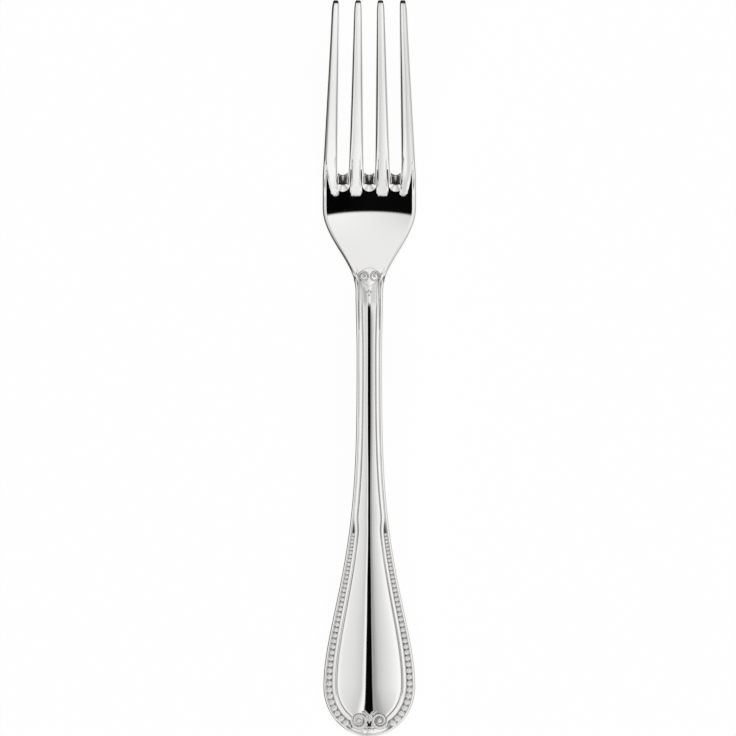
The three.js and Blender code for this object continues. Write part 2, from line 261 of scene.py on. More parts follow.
def dish(x, d):
    """Rise of the hollow head's sides, which runs out over the shoulders."""
    return dish_rise * (x / (head_width / 2)) ** 2 * (1 - smooth((d - heel + dish_lead) / dish_run_out))


straight_run = fork_length - bead_top - spatula_end
end_run_per_radian = (spatula_width / 2 + spatula_end) / 2
bead_run = straight_run + bead_stop_angle * end_run_per_radian


def bead_size_at(run):
    return mix(bead_small, bead_large, clamp01(run / bead_run))


def channel_at(run):
    opened = smooth(1 + run / channel_opening) * (1 - smooth((run - bead_run) / channel_closing))
    return bead_size_at(run) * bead_cover * opened


def thread_at(run):
    return mix(thread_narrow, thread_wide, clamp01(run / bead_run))


print("outline half widths:", [round(float(half_width_at(d)), 2) for d in (20, 48, 70, 110, 150)])

# %% [markdown]
# ## The flat blank
# The blank is one closed skin of quads. Its handle is a loft: rings of points that all have the same
# columns, so the ridge, the threads and the rim each follow a column from ring to ring. The four tines
# can't be rings of the same loft, so each slot gets a U-shaped strip of quads that starts at one tine's
# point, turns round the end of the slot and runs back up the next tine. Strips, outer half tines and
# handle share the points on their borders, and merging those points closes the skin. A boolean cut
# would be shorter, but its ragged faces show at once on polished silver.

# %% Columns of half a tine, from the middle of its face round its edge to the middle of its back
face_shares = np.array([0.0, 0.3, 0.55, 0.72, 0.84, 0.93, 1.0])
back_shares = np.array([0.35, 0.7, 1.0])
facet_shares = np.array([0.12, 0.88])
wall_shares = np.array([0.04, 0.22, 0.4, 0.6, 0.8, 0.96])
bevel_shares = np.array([0.12, 0.5, 1])
edge_insets = np.array([0.27, 0.12, 0.03, 0])
edge_depths = np.array([0.17, 0.35, 0.7, 1])
tuck_insets = np.array([0.06, 0.15, 0.4, 1])
tuck_depths = np.array([0.4, 0.58, 0.8, 1])
back_start_inset, back_start_depth = 0.2, 0.7
edge_columns = 12
columns = len(face_shares) + edge_columns + len(back_shares)


def slot_side(d, pinch=0):
    """Distances in from the slot's wall and depths below the face for a half tine beside a slot.

    A pinch moves the wall into the slot, and the bevel grows by it."""
    half, thick = tine_half_at(d) + pinch, thickness(d)
    scale = mix(1, slot_bevel_root, smooth((d - slot_length) / slot_bevel_run + 1))
    scale = min(scale, tine_half_at(d) * slot_bevel_share / slot_bevel)
    spread = scale + pinch / slot_bevel
    bevel, drop, chamfer = (size * spread for size in (slot_bevel, slot_bevel_drop, slot_chamfer))
    below = back_bevel * scale
    drop += slot_pinch_drop * pinch
    foot = drop + slot_chamfer_drop * spread
    inset = np.concatenate([
        half - face_shares * (half - bevel),
        mix(bevel, chamfer, facet_shares), mix(chamfer, 0, facet_shares),
        wall_shares * 0, [below * back_bevel_round, below],
        mix(below, half, back_shares),
    ])
    depth = np.concatenate([
        face_shares * 0,
        mix(0, drop, facet_shares), mix(drop, foot, facet_shares),
        mix(foot, thick - below, wall_shares),
        [thick - below * (1 - back_bevel_round), thick], back_shares * 0 + thick,
    ])
    return inset, depth


def outer_side(d, half=None):
    """The same columns for the outer edge of the head: a wide bevel above a soft, round edge."""
    scale, thick = tine_width_at(d) / tine_root_width, thickness(d)
    half = tine_half_at(d) if half is None else half
    bevel = min(head_bevel * scale, half * head_bevel_share)
    drop = bevel_drop * scale
    edge = edge_level * thick
    low = back_shoulder_level * thick
    tuck = min(back_shoulder_inset * thick, half * back_tuck_share)
    back_inset = mix(tuck, half, back_start_inset)
    back_depth = mix(low, thick, back_start_depth)
    inset = np.concatenate([
        half - face_shares * (half - bevel),
        mix(bevel, bevel * bevel_foot, bevel_shares), bevel * edge_insets,
        tuck * tuck_insets, [back_inset],
        mix(back_inset, half, back_shares),
    ])
    depth = np.concatenate([
        face_shares * 0,
        drop * bevel_shares, mix(drop, edge, edge_depths),
        mix(edge, low, tuck_depths), [back_depth],
        mix(back_depth, thick, np.sqrt(back_shares)),
    ])
    return inset, depth


print("columns round half a tine:", columns)

# %% Rows along a tine: plain places near the point, then shares of the way to the slot's round end
point_rows = [(d, 0) for d in (0.05, 0.2, 0.4, 0.6, 0.85, 1.3, point_length)]
tine_shares = np.concatenate([np.linspace(0.1, 0.8, 12), np.linspace(0.83, 1.0, 9)])
tine_rows = point_rows + [(0, share) for share in tine_shares]
slot_half = root_pitch / 2 - tine_root_width / 2
plate_behind_slots = 2.3
plate_top = slot_length + slot_lean + plate_behind_slots
pinch_reach = 0.8
side_steps = 6
foot_steps = 8
wall_levels = (0, 0.08, 0.93, 1)
wall_leans = (1, 0.9, 0.08, 0)


def slot_end_centre(level):
    """Place of the round end's middle; the end leans out from the back (level 1) to the face (level 0)."""
    return slot_length + slot_lean * np.interp(level, wall_levels, wall_leans) - slot_half


def tine_row(row, side_of):
    """Places d, insets and depths of the columns in one row of a half tine."""
    base, share = row
    guess = base + share * slot_end_centre(0.5)
    level = side_of(guess)[1] / thickness(guess)
    places = base + share * slot_end_centre(level)
    both = [side_of(d) for d in places]
    inset = np.array([each[0][i] for i, each in enumerate(both)])
    depth = np.array([each[1][i] for i, each in enumerate(both)])
    return places, inset, depth


def tine_point(side):
    """The very tip of a tine, to which all columns of its first row close."""
    return np.tile([side * point_pitch, 0, -thickness(0) / 2], (columns, 1))


print("rows along a tine:", len(tine_rows), "and the plate starts at", round(plate_top, 2))


# %% A strip of quads round each slot
def strip_beside_slot(side):
    """Grid of points from one tine's point round the end of the slot to the next tine's point."""
    def straight(row, hand):
        d, inset, depth = tine_row(row, slot_side)
        edge = pitch_at(d) / 2 - tine_half_at(d) + inset
        x = side * pitch_at(d) + hand * edge
        return np.stack([x, d, dish(x, d) - depth], axis=1)

    steps = 2 * side_steps + foot_steps
    corner = math.atan2(root_pitch / 2, plate_top - slot_end_centre(0))

    def turned(step):
        from_middle = step - steps / 2
        foot = foot_steps / 2
        beyond = max(abs(from_middle) - foot, 0) / side_steps
        angle = math.copysign(corner * min(abs(from_middle) / foot, 1), from_middle)
        angle += math.copysign((math.pi / 2 - corner) * beyond, from_middle)
        box_x = root_pitch / 2 * np.clip(from_middle / foot, -1, 1)
        pinch = slot_pinch * smooth(math.cos(angle) / pinch_reach)
        inset, depth = slot_side(slot_length, pinch)
        level = depth / thickness(slot_length)
        radius = slot_half - pinch + inset
        x = radius * math.sin(angle)
        d = slot_end_centre(level) + radius * math.cos(angle)
        box_d = mix(plate_top, slot_end_centre(level), beyond)
        edge, back = len(face_shares) - 1, columns - len(back_shares)
        for i in range(edge):
            x[i] = mix(box_x, x[edge], face_shares[i])
            d[i] = mix(box_d[0], d[edge], face_shares[i])
        for i, share in enumerate(back_shares):
            x[back + i] = mix(x[back - 1], box_x, share)
            d[back + i] = mix(d[back - 1], box_d[-1], share)
        x = x + side * root_pitch
        return np.stack([x, d, dish(x, d) - level * thickness(d)], axis=1)

    left = [tine_point(side - 0.5)] + [straight(row, -1) for row in tine_rows]
    right = [tine_point(side + 0.5)] + [straight(row, 1) for row in tine_rows]
    return np.array(left + [turned(step) for step in range(1, steps)] + right[::-1])


slot_sides = np.arange(tine_count - 1) - (tine_count - 2) / 2
slot_strips = [strip_beside_slot(side) for side in slot_sides]
print("slot strips:", [grid.shape[:2] for grid in slot_strips])


# %% The outer halves of the outer tines
def outer_half_tine(hand):
    """Grid of points along the outer half of an outer tine, down to the top row of the plate."""
    rows = [tine_point(hand * outer_tine)]
    for row in tine_rows:
        d, inset, depth = tine_row(row, outer_side)
        x = pitch_at(d) * outer_tine + tine_half_at(d) - inset
        rows.append(np.stack([hand * x, d, dish(x, d) - depth], axis=1))
    inset, depth = outer_side(slot_length)
    level = depth / thickness(slot_length)
    for step in range(1, side_steps + 1):
        d = mix(slot_end_centre(level), plate_top, step / side_steps)
        x = root_pitch * outer_tine + tine_root_width / 2 - inset
        rows.append(np.stack([hand * x, d, dish(x, d) - level * thickness(d)], axis=1))
    return np.array(rows)


outer_halves = [outer_half_tine(hand) for hand in (1, -1)]
print("outer halves:", [grid.shape[:2] for grid in outer_halves])


# %% Stations: where a ring meets the outline, which way is in, and its run along the bead border
def straight_station(d):
    return dict(
        x=float(half_width_at(d)), d=d, in_x=-1.0, in_d=0.0, middle=d, run=d - bead_top, round=False,
    )


def ridge_fall(x, panel_half, soft):
    return np.hypot(ridge_slope * x, soft) - soft + panel_round * x * x / panel_half


def border_at(run):
    return rim_width + channel_at(run) + thread_at(run)


widest_panel = spatula_width / 2 - border_at(straight_run)
widest_softness = ridge_softness(fork_length - spatula_end)
widest_crest = ridge_fall(widest_panel, widest_panel, widest_softness)


def roof_height(x, d):
    """Rise of the ridged panel above its border, carried on over the round end, where it runs out."""
    over_end = clamp01((d - fork_length + spatula_end) / spatula_end)
    rise = np.maximum(widest_crest - ridge_fall(np.abs(x), widest_panel, widest_softness), 0)
    return rise * mix(1, ridge_run_out, over_end)


def end_station(angle):
    half = spatula_width / 2
    normal = Vector((math.cos(angle) / half, math.sin(angle) / spatula_end)).normalized()
    at_end = angle > math.pi / 2 - 1e-6
    return dict(
        x=0.0 if at_end else half * math.cos(angle),
        d=fork_length - spatula_end * (1 - math.sin(angle)),
        in_x=0.0 if at_end else -normal.x, in_d=-normal.y,
        middle=fork_length - mix(spatula_end, ridge_end, math.sin(angle)),
        run=straight_run + angle * end_run_per_radian,
        round=True,
    )


print("panel at its widest:", round(2 * widest_panel, 2), "mm")
print("ridge above it:", round(float(widest_crest), 2), "mm")

# %% Half a ring of the handle
panel_shares = np.array([1, 0.97, 0.94, 0.9, 0.84, 0.74, 0.58, 0.4, 0.24, 0.12, 0.025])
back_columns = np.linspace(0, 1, 16)[1:]
thread_shares = np.array([0.12, 0.24, 0.38, 0.53, 0.7, 0.88])
one_thread = np.array([-0.5, 0.3, 0.08, -0.16, -0.42, -0.7]) * relief_depth
thread_and_fillet = np.array([0.5, 0.3, 0.1, -0.15, -0.4, -0.65]) * relief_depth


def handle_half(station):
    """Right half of a handle ring, from the ridge over the border and the edge to the back."""
    thick = thickness(station["d"])
    run = station["run"]
    channel, thread, border = channel_at(run), thread_at(run), border_at(run)
    fillet = clamp01(run / bead_run)
    outline = np.array([station["x"], station["d"]])
    inward = np.array([station["in_x"], station["in_d"]])
    middle = np.array([0, station["middle"]])
    panel_edge = outline + inward * border
    panel_half = np.hypot(*(panel_edge - middle))
    soft = ridge_softness(station["d"])
    crest = ridge_fall(panel_half, panel_half, soft)
    crest_share = smooth((station["d"] - border_top + border_top_run) / crest_run)
    rows = []
    for share in panel_shares:
        rise = (crest - ridge_fall(panel_half * (1 - share), panel_half, soft)) * crest_share
        place = mix(panel_edge, middle, share)
        rows.append((*place, roof_height(*place) if station["round"] else rise))
    tuck = thick * back_shoulder_inset
    threads = zip(thread_shares, mix(one_thread, thread_and_fillet, fillet))
    # Insets from the outline and heights: thread, channel, rim, edge and the shoulder of the back
    relief = [
        (border, -relief_depth * 0.7),
        *((border - thread * share, h) for share, h in threads),
        (rim_width + channel, -relief_depth),
        (rim_width + channel / 2, -relief_depth),
        (rim_width, -relief_depth),
        (rim_width * 0.92, -relief_depth * 0.35),
        (rim_width * 0.84, thread_rise),
        (rim_width * 0.5, thread_rise * 0.1),
        (rim_width * 0.3, -thread_rise),
        (rim_width * 0.08, -thread_rise * 2.3),
        (rim_width * 0.02, -edge_level * thick * 0.65),
        (0, -edge_level * thick),
        (tuck * 0.08, -mix(edge_level, back_shoulder_level, 0.4) * thick),
        (tuck * 0.4, -mix(edge_level, back_shoulder_level, 0.78) * thick),
        (tuck, -back_shoulder_level * thick),
    ]
    for inset, h in relief:
        place = outline + inward * inset
        lift_share = clamp01(1 + h / (back_shoulder_level * thick)) if station["round"] else 0
        rows.append((*place, h + roof_height(*place) * lift_share))
    shoulder = outline + inward * tuck
    for share in back_columns:
        crown = mix(back_shoulder_level, 1, 1 - (1 - share) ** back_crown_power)
        place = mix(shoulder, middle, share)
        rows.append((*place, -crown * thickness(place[1])))
    return np.array(rows)


print("points of half a ring:", len(handle_half(straight_station(bead_top))))

# %% Rings of the plate, the neck and the handle
# Tarnish and painted shade of the border's columns, counted from the panel's edge: beside a shut and an
# open bead channel
border_shades = {0: (0.5, 1), 3: (0, 0.2), 6: (0, 0.8), 7: (0.44, 1.1), 8: (0.05, 0.05), 9: (0.42, 1.05)}


def head_half(station):
    """Right half of a plate ring with the columns of the handle; its first columns end the slot strips."""
    d, wide = station["d"], station["x"]
    top_flat = root_pitch * outer_tine / (head_width / 2 - head_bevel)
    inset, depth = outer_side(d, wide - (wide - head_bevel) * top_flat)
    slots = np.linspace(0, 1, int(foot_steps * outer_tine) + 1) * (wide - head_bevel) * top_flat
    x = np.concatenate([slots[:-1], wide - inset, slots[::-1][1:]])
    depths = np.concatenate([slots[:-1] * 0, depth, slots[1:] * 0 + thickness(d)])
    return np.stack([x, x * 0 + d, dish(x, d) - depths], axis=1)


def ring(station):
    """All columns of a ring; the fourth number of a point is its tarnish and painted shade along the
    border.
    """
    handle_share = smooth((station["d"] - border_top + border_top_run) / border_top_run)
    half = mix(head_half(station), handle_half(station), handle_share)
    recess = np.zeros((len(half), 1))
    channel_share = channel_at(station["run"]) / (bead_size_at(station["run"]) * bead_cover)
    for column, (beside_shut, beside_open) in border_shades.items():
        recess[len(panel_shares) + column] = mix(beside_shut, beside_open, channel_share)
    half = np.concatenate([half, recess * handle_share], axis=1)
    left = half[1:-1][::-1] * np.array([-1, 1, 1, 1])
    return np.concatenate([half, left, half[:1]])


neck_length = 4
plate_end = border_top - border_top_run
neck_end = border_top + neck_length
channel_start = bead_top - channel_opening
straight_places = np.concatenate([
    np.linspace(plate_top, plate_end, 22),
    np.linspace(plate_end, neck_end, 14)[1:],
    np.linspace(neck_end, channel_start, 30)[1:],
    np.linspace(channel_start, fork_length - spatula_end, 34)[1:-1],
])
end_angles = np.linspace(0, math.pi / 2, 29)
stations = [straight_station(d) for d in straight_places] + [end_station(angle) for angle in end_angles]
handle_grid = np.array([ring(station) for station in stations])
print("handle rings:", handle_grid.shape[:2])

# %% Join the grids into one closed skin
merge_distance = 0.002


def put_in_scene(name, data):
    """A new object of that name and data, linked to the scene."""
    item = bpy.data.objects.new(name, data)
    bpy.context.scene.collection.objects.link(item)
    return item


def flat_point(point):
    """Metres on the flat strip: Y runs back from the tine points by the length of the side curve."""
    x, d, h = point[:3]
    return Vector((x, -np.interp(d, curve_places, curve_runs), h)) * MM


def skin_of(name, grids):
    """One mesh object from grids of points, with shared borders merged and faces pointing out."""
    build = bmesh.new()
    # Each point carries its tarnish and painted shade; points given with three numbers get none
    recess = build.verts.layers.float.new("recess")
    for grid in grids:
        points = [[build.verts.new(flat_point(point)) for point in row] for row in grid]
        for vertex, point in zip(sum(points, []), grid.reshape(-1, grid.shape[-1])):
            vertex[recess] = 0 if len(point) == 3 else point[3]
        for row, below in zip(points, points[1:]):
            for i in range(len(row) - 1):
                build.faces.new((row[i], row[i + 1], below[i + 1], below[i]))
    bmesh.ops.remove_doubles(build, verts=build.verts, dist=merge_distance * MM)
    bmesh.ops.recalc_face_normals(build, faces=build.faces)
    for face in build.faces:
        face.smooth = True
    open_edges = sum(not edge.is_manifold for edge in build.edges)
    mesh = bpy.data.meshes.new(name)
    build.to_mesh(mesh)
    build.free()
    print(name, len(mesh.polygons), "faces,", open_edges, "open edges")
    return put_in_scene(name, mesh)


fork_body = skin_of("fork_body", slot_strips + outer_halves + [handle_grid])

# %% [markdown]
# ## Node trees as Python
# Trees of nodes are easier to read as expressions than as lists of links. A Wire wraps one socket, and
# its operators add Math nodes. Tree.add makes any other node: its settings come first, because some of
# them change which sockets it has, then its sockets get values or wires.


# %% A wire and a tree
class Wire:
    def __init__(self, tree, socket):
        self.tree = tree
        self.socket = socket

    def maths(self, operation, *values):
        return self.tree.add("ShaderNodeMath", dict(operation=operation), dict(enumerate(values)))[0]

    def __add__(self, other):
        return self.maths("ADD", self, other)

    __radd__ = __add__

    def __sub__(self, other):
        return self.maths("SUBTRACT", self, other)

    def __rsub__(self, other):
        return self.maths("SUBTRACT", other, self)

    def __mul__(self, other):
        return self.maths("MULTIPLY", self, other)

    __rmul__ = __mul__

    def __truediv__(self, other):
        return self.maths("DIVIDE", self, other)

    def __abs__(self):
        return self.maths("ABSOLUTE", self)

    def clamped(self):
        return self.maths("MINIMUM", self.maths("MAXIMUM", self, 0), 1)

    def step(self, low, high):
        """0 below low, 1 above high and a soft step between them."""
        settings = dict(interpolation_type="SMOOTHSTEP")
        return self.tree.add("ShaderNodeMapRange", settings, {0: self, 1: low, 2: high})[0]


class Made:
    """A node whose outputs are wires, by name or by number."""
    def __init__(self, tree, node):
        self.tree = tree
        self.node = node

    def __getitem__(self, key):
        return Wire(self.tree, self.node.outputs[key])


class Tree:
    def __init__(self, nodes_and_links):
        self.nodes = nodes_and_links.nodes
        self.links = nodes_and_links.links

    def add(self, kind, settings=None, sockets=None):
        node = self.nodes.new(kind)
        for name, value in (settings or {}).items():
            if name == "stops":
                while len(node.color_ramp.elements) < len(value):
                    node.color_ramp.elements.new(1.0)
                for element, (position, colour) in zip(node.color_ramp.elements, value):
                    element.position = position
                    element.color = colour
            else:
                setattr(node, name, value)
        for key, value in (sockets or {}).items():
            values = value if isinstance(value, list) else [value]
            for each in values:
                if isinstance(each, Wire):
                    self.links.new(each.socket, node.inputs[key])
                else:
                    node.inputs[key].default_value = each
        return Made(self, node)

    def vector(self, operation, sockets):
        return self.add("ShaderNodeVectorMath", dict(operation=operation), sockets)[0]


class GeometryTree(Tree):
    """A Geometry Nodes tree with named inputs, set on a modifier by their identifiers."""
    def __init__(self, name, inputs):
        self.group = bpy.data.node_groups.new(name, "GeometryNodeTree")
        super().__init__(self.group)
        self.group.interface.new_socket("Geometry", in_out="INPUT", socket_type="NodeSocketGeometry")
        self.identifiers = {}
        for label, kind in inputs.items():
            socket = self.group.interface.new_socket(label, in_out="INPUT", socket_type="NodeSocket" + kind)
            self.identifiers[label] = socket.identifier
        self.group.interface.new_socket("Geometry", in_out="OUTPUT", socket_type="NodeSocketGeometry")
        self.input = self.add("NodeGroupInput")

    def attribute(self, name):
        return self.add("GeometryNodeInputNamedAttribute", dict(data_type="FLOAT"), {"Name": name})[0]

    def shaded(self, geometry, shade):
        """The geometry with its tarnish and painted shade stored on its points."""
        settings = dict(data_type="FLOAT", domain="POINT")
        sockets = {"Geometry": geometry, "Name": "recess", "Value": shade}
        return self.add("GeometryNodeStoreNamedAttribute", settings, sockets)[0]

    def finish(self, geometry):
        self.add("NodeGroupOutput", sockets={0: geometry})

    def finish_in_metal(self, geometry):
        """Ends the tree with a smooth, plain mesh in the metal of its input."""
        smoothed = self.add("GeometryNodeSetShadeSmooth", sockets={0: geometry})[0]
        plain = self.add("GeometryNodeRealizeInstances", sockets={"Geometry": smoothed})[0]
        sockets = {"Geometry": plain, "Material": self.input["Metal"]}
        self.finish(self.add("GeometryNodeSetMaterial", sockets=sockets)[0])

    def put_on(self, piece, values):
        modifier = piece.modifiers.new(self.group.name, "NODES")
        modifier.node_group = self.group
        for label, value in values.items():
            modifier[self.identifiers[label]] = value


def plain_mesh(piece):
    """Replaces a piece's mesh by its finished shape and removes its modifiers."""
    seen = bpy.context.evaluated_depsgraph_get()
    finished = bpy.data.meshes.new_from_object(piece.evaluated_get(seen))
    finished.name = piece.name
    piece.modifiers.clear()
    piece.data = finished
    return piece


print("node helpers ready")

# %% [markdown]
# ## Bending
# The side curve is a curve object whose first point is under the tine points. The tree looks up each
# point of a flat piece on it: Y says how far along the curve to go, Z how far to stand off along the
# curve's own normal, and X stays. A Curve modifier could do this too, but it swings round at steep
# places; sampling the curve keeps the fork straight in X.

# %% The side curve and the bending tree
side_curve_data = bpy.data.curves.new("side_curve", "CURVE")
side_curve_data.dimensions = "3D"
side_spline = side_curve_data.splines.new("POLY")
side_spline.points.add(len(curve_places) - 1)
for point, d, height in zip(side_spline.points, curve_places, curve_heights):
    point.co = (0, -d * MM, height * MM, 1)
side_curve = put_in_scene("side_curve", side_curve_data)

bending = GeometryTree("bend_along_side_curve", {"Side Curve": "Object"})
flat_place = bending.add("ShaderNodeSeparateXYZ", sockets={0: bending.add("GeometryNodeInputPosition")[0]})
curve_shape = bending.add("GeometryNodeObjectInfo", sockets={0: bending.input["Side Curve"]})
on_curve = bending.add(
    "GeometryNodeSampleCurve", dict(mode="LENGTH"),
    {"Curves": curve_shape["Geometry"], "Length": flat_place["Y"] * -1},
)
stand_off = bending.vector("CROSS_PRODUCT", {0: on_curve["Tangent"], 1: (1, 0, 0)})
raised = bending.vector("SCALE", {0: stand_off, "Scale": flat_place["Z"]})
across = bending.add("ShaderNodeCombineXYZ", sockets={"X": flat_place["X"]})[0]
bent_place = bending.vector("ADD", {0: across, 1: on_curve["Position"]})
bent_place = bending.vector("ADD", {0: bent_place, 1: raised})
bent = bending.add(
    "GeometryNodeSetPosition", sockets={"Geometry": bending.input[0], "Position": bent_place},
)
bending.finish(bent[0])
print("bending tree:", len(bending.nodes), "nodes")


def bend(piece):
    bending.put_on(piece, {"Side Curve": side_curve})
    return plain_mesh(piece)


def points_of(piece):
    points = np.empty(len(piece.data.vertices) * 3, dtype=np.float32)
    piece.data.vertices.foreach_get("co", points)
    return points.reshape(-1, 3)


# %% [markdown]
# ## Striking the face
# Two soft forms of the head have no columns of their own. Each tine's face is a little crowned, and at the
# heel it runs out over the plate as a rounded finger, because the plate beside the slots lies lower. Both
# are heights over the view from above. They're pressed into the points of the flat skin once it has been
# softened, and they fade below the face, so the back stays as it is. A short bevel thins the tine points
# in the same way, and the two scrolls at the handle's end get level ground to lie on. Last, tarnish and
# painted shade are marked: both on the ground under the scrolls, where no wheel reaches, and painted shade
# in the slots' ends, with a lighter painted reflection near their tops, and in the pit between the scrolls.

# %% Sizes of the struck forms
ledge_length = 6.5
ledge_start = 3.5
ledge_depth = 0.35
ledge_edge = 0.2
finger_half = (0.89, 1.25)
finger_widening = 2.6
finger_round = 1.3
outer_finger_half = (1.1, 0.7)
outer_finger_shift = 1.4
outer_finger_run = 8.5
rim_cover = 0.68
face_crown = 0.11
crown_fade_lead, crown_fade_run = 8, 6
press_reach = (0.4, 2.2)
nose_length, nose_drop, nose_limit = 0.6, 0.76, 0.92
end_scroll_x, end_scroll_d, end_scroll_radius = 2.4, fork_length - 4.07, 2.05
boss_edge = 0.3
top_share = 0.5
# Painted shade: on the scrolls' ground, partly tarnish, in the slots' ends with a lighter painted
# reflection, and in the pit
scroll_shade = 0.4
slot_end_shade = 1.25
slot_shade_half = (0.85, 0.6)
shade_lead = 0.05
shade_top, shade_fade = 0.17, 0.06
gleam_top, gleam_length, gleam_half = slot_length + 0.2, 1.6, 0.4
gleam_shade = 0.5
painted_pit_top, painted_pit_length, painted_pit_slope = fork_length - 3.5, 0.75, 0.45
print("ledges", ledge_depth, "mm deep, point bevels", nose_length, "mm long")


# %% Heights of the fingers and the crowns
def soft_edge(beyond, width):
    """1 inside an edge and 0 outside it, with a soft step as wide as width between them."""
    return 1 - smooth(beyond / width + 0.5)


def finger_cover(x, d):
    """1 on the fingers and the outer rim, 0 on the lower plate beside the slots."""
    end = clamp01((d - finger_end + finger_round) / finger_round)
    rounded = np.sqrt(np.sqrt(np.maximum(1 - end ** 4, 0)))
    along = clamp01((d - finger_end + outer_finger_run) / outer_finger_run)
    widening = smooth((d - slot_length) / finger_widening)
    inset = pitch_at(d) * outer_tine + tine_width_at(d) / 2 - np.abs(x)
    cover = soft_edge(inset - head_bevel * rim_cover, ledge_edge)
    for side in np.arange(tine_count) - outer_tine:
        outer = abs(side) == outer_tine
        middle = side * pitch_at(d) - np.sign(side) * outer_finger_shift * along * outer
        half = mix(*outer_finger_half, along) if outer else mix(*finger_half, widening)
        half = half * rounded
        cover = np.maximum(cover, soft_edge(np.abs(x - middle) - half, ledge_edge))
    return cover


def pressed(x, d):
    """How far the face is pressed down at a place seen from above."""
    ledge = clamp01((finger_end - d) / ledge_length)
    ledge = ledge * smooth((d - finger_end + ledge_length + ledge_start) / ledge_start)
    side = np.round(np.abs(x) / pitch_at(d) - 0.5) + 0.5
    from_middle = (np.abs(x) - side * pitch_at(d)) / (tine_width_at(d) / 2)
    fade = smooth((d - finger_end + crown_fade_lead) / crown_fade_run)
    crown = face_crown * np.minimum(from_middle ** 2, 1) * (1 - fade)
    return ledge_depth * ledge * (1 - finger_cover(x, d)) + crown


print("pressed behind the middle slot:", round(float(pressed(0, slot_length + slot_lean)), 2), "mm")

# %% Soften the skin, press the forms and bevel the points
softened = fork_body.modifiers.new("soften", "SUBSURF")
softened.levels = 1
softened.render_levels = 1
plain_mesh(fork_body)
flat_points = points_of(fork_body)
across_mm, height_mm = flat_points[:, 0] / MM, flat_points[:, 2] / MM
along_mm = np.interp(-flat_points[:, 1] / MM, curve_runs, curve_places)
in_head = along_mm < finger_end
below_face = dish(across_mm, along_mm) - height_mm
press = pressed(across_mm, along_mm) * (1 - smooth((below_face - press_reach[0]) / press_reach[1]))
flat_points[in_head, 2] -= press[in_head] * MM
nose = np.minimum(nose_drop * (1 - clamp01(along_mm / nose_length)), thickness(along_mm) * nose_limit)
in_nose = along_mm < nose_length
squash = 1 - nose / thickness(along_mm)
flat_points[in_nose, 2] = (flat_points[:, 2] * squash - nose * MM)[in_nose]
print("pressed by up to", round(float(press[in_head].max()), 2), "mm; bevelled points:", in_nose.sum())

# %% Level the ground of the end scrolls and paint tarnish and shade
on_top = height_mm > -edge_level * thickness(along_mm) * top_share
recess = np.empty(len(flat_points), dtype=np.float32)
fork_body.data.attributes["recess"].data.foreach_get("value", recess)
# Level ground under each end scroll, with tarnish and painted shade on it inside the scroll
for hand in (1, -1):
    from_eye = np.hypot(across_mm - hand * end_scroll_x, along_mm - end_scroll_d)
    share = soft_edge(from_eye - end_scroll_radius, boss_edge) * on_top
    flat_points[:, 2] = mix(flat_points[:, 2], roof_height(across_mm, along_mm) * MM, share)
    recess = mix(recess, scroll_shade, (from_eye < end_scroll_radius - boss_edge) * on_top)
# Painted shade on the walls of the slots' ends; a narrow triangle at each end's top gets half of it, a
# lighter painted reflection
from_slot = np.abs(across_mm - np.clip(np.round(across_mm / root_pitch), -1, 1) * root_pitch)
wall_share = below_face / thickness(along_mm)
shade_half = mix(*slot_shade_half, clamp01((along_mm - slot_length) / slot_lean))
at_slot_end = (from_slot < shade_half) * (along_mm > slot_length + shade_lead) * (along_mm < finger_end)
shade = slot_end_shade * smooth((wall_share - shade_top) / shade_fade) * at_slot_end
gleam = from_slot < gleam_half * (1 - (along_mm - gleam_top) / gleam_length)
recess = np.maximum(recess, shade * np.where(gleam, gleam_shade, 1))
# Painted shade: a dark triangle on the face between the end scrolls, where it looks like a pit
from_painted_pit = along_mm - painted_pit_top
in_painted_pit = on_top * (np.abs(across_mm) < from_painted_pit * painted_pit_slope) * (from_painted_pit < painted_pit_length)
recess = np.maximum(recess, in_painted_pit)
fork_body.data.attributes["recess"].data.foreach_set("value", recess.astype(np.float32))
print("tarnished points:", (recess > 0).sum())

# %% Bend the body, and keep its flat face to lay the scrolls on
fork_body.data.vertices.foreach_set("co", flat_points.ravel())
fork_body.data.update()
flat_face = BVHTree.FromPolygons(
    [Vector(point) for point in flat_points], [tuple(face.vertices) for face in fork_body.data.polygons],
)
bend(fork_body)
print("bent body:", len(fork_body.data.vertices), "points")


def on_face(x, d, lift):
    """A point (x, d, h) that stands off the flat face by lift."""
    above = flat_point((x, d, fork_length))
    hit = flat_face.ray_cast(above, Vector((0, 0, -1)))[0]
    return x, d, hit.z / MM + lift


# %% [markdown]
# ## Laying the fork down
# A fork that lies face up stands on two places, one under its head and one under its handle. The body is
# turned until its lowest point in either half has the same height, then it is moved onto the table and
# to the middle. Every later piece is bent alike and gets the same move, the bed.


# %% Lay the fork on the table
def lowest(points):
    return points[np.argmin(points[:, 2])]


body_points = points_of(fork_body)
in_front = body_points[:, 1] > -fork_length / 2 * MM
head_rest, handle_rest = lowest(body_points[in_front]), lowest(body_points[~in_front])
tilt = math.atan2(head_rest[2] - handle_rest[2], head_rest[1] - handle_rest[1])
level = Matrix.Rotation(-tilt, 4, "X")
fork_body.data.transform(level)
low, high = points_of(fork_body).min(axis=0), points_of(fork_body).max(axis=0)
lift = Matrix.Translation((0, -(low[1] + high[1]) / 2, -low[2] - rest_flat_depth * MM))
bed = lift @ level
fork_body.data.transform(lift)
print("tilt in degrees:", round(math.degrees(tilt), 3))

# %% [markdown]
# ## Finishes
# Polished silver has almost no colour of its own: it shows the room. What makes it silver and not a
# perfect mirror is a warm tint, a breath of tarnish in the struck recesses, where the polishing wheel
# doesn't reach, and hairlines from years of wiping. A point attribute carries that tarnish from the
# columns of the loft, and painted shade with it: along the border, at the beads' feet, on the wires'
# sides, in the slots' ends and the pit; hairlines are noise stretched along the fork.

